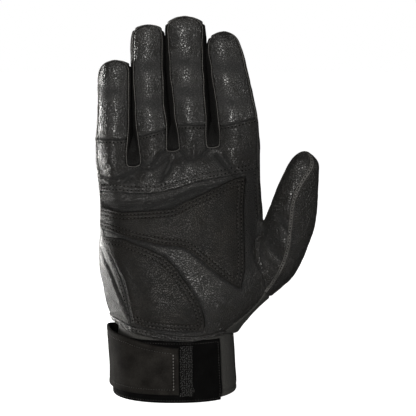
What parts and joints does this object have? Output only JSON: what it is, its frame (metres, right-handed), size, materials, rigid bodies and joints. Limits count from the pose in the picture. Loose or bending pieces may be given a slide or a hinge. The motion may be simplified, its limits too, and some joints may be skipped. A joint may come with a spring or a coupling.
{
  "type": "tactical glove",
  "caption": "Right-hand leather work glove held open as worn, with palm and heel patches, finger gussets, a stretch cuff and a hook-and-loop wrist strap.",
  "frame": {"origin": "centre of the wrist opening, at the lower edge of the cuff", "axes": "+Z along the hand towards the fingertips, -Y out of the palm, +X towards the thumb side"},
  "size_m": [0.1386, 0.0642, 0.2383],
  "materials": {
    "leather": "black grained goatskin, semi-matt",
    "patch_leather": "black smooth grained leather, matt",
    "knit": "black stretch knit",
    "pile": "black loop pile",
    "suede": "black napped suede",
    "hook": "black hook tape"
  },
  "bodies": {
    "root": {"palm_leather": "leather", "palm_upper": "leather", "finger_front_little": "leather", "finger_front_ring": "leather", "finger_front_middle": "leather", "finger_front_index": "leather", "gusset_little_ring": "leather", "gusset_ring_middle": "leather", "gusset_middle_index": "leather", "back_panel": "leather", "thumb_front": "leather", "thumb_back": "leather", "side_knit": "knit", "patch_palm": "patch_leather", "patch_heel": "patch_leather", "wrist_hem": "leather", "cuff_knit": "knit", "loop_panel": "pile", "strap_tab": "suede", "hook_tape": "hook"}
  },
  "joints": []
}
